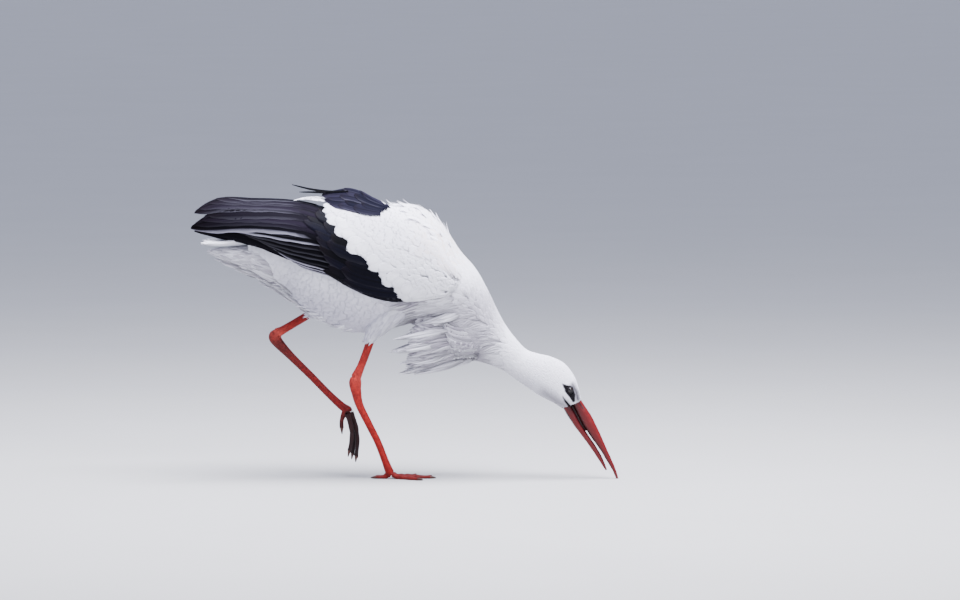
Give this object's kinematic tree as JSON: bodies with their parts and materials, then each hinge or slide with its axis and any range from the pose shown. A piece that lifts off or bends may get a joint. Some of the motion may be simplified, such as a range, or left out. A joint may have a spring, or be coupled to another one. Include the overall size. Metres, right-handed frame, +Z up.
{
  "type": "white stork, still life-size model",
  "caption": "Still life-size white stork walking and reaching down, one leg lifted and the open bill touching the ground.",
  "frame": {"origin": "middle of the base of the bird's bounding box, on the ground", "axes": "+X from the tail to the bill, +Y to the bird's left side, +Z up"},
  "size_m": [0.884, 0.215, 0.6098],
  "materials": {
    "body_plumage": "close white feathers over the fleshed body",
    "loose_plumage": "soft white feathers",
    "black_plumage": "black flight feathers with a faint violet gloss",
    "bill_horn": "satin red horn",
    "leg_skin": "red scaly skin",
    "claw_horn": "dark horn",
    "eye": "wet gloss, dark brown"
  },
  "bodies": {
    "root": {"bill_lower": "bill_horn", "bill_upper": "bill_horn", "claw_hind_l": "claw_horn", "claw_hind_r": "claw_horn", "claw_inner_l": "claw_horn", "claw_inner_r": "claw_horn", "claw_middle_l": "claw_horn", "claw_middle_r": "claw_horn", "claw_outer_l": "claw_horn", "claw_outer_r": "claw_horn", "eye_l": "eye", "eye_r": "eye", "head": "body_plumage", "neck_lower": "body_plumage", "neck_upper": "body_plumage", "ruff": "loose_plumage", "rump": "loose_plumage", "scapulars_l": "black_plumage", "scapulars_r": "black_plumage", "shank_l": "leg_skin", "shank_r": "leg_skin", "tail": "loose_plumage", "tarsus_l": "leg_skin", "tarsus_r": "leg_skin", "thigh_l": "body_plumage", "thigh_r": "body_plumage", "toe_hind_l": "leg_skin", "toe_hind_r": "leg_skin", "toe_inner_l": "leg_skin", "toe_inner_r": "leg_skin", "toe_middle_l": "leg_skin", "toe_middle_r": "leg_skin", "toe_outer_l": "leg_skin", "toe_outer_r": "leg_skin", "trunk": "body_plumage", "vent": "loose_plumage", "wing_l_coverts": "loose_plumage", "wing_l_flight": "black_plumage", "wing_l_greater": "black_plumage", "wing_r_coverts": "loose_plumage", "wing_r_flight": "black_plumage", "wing_r_greater": "black_plumage"}
  },
  "joints": []
}
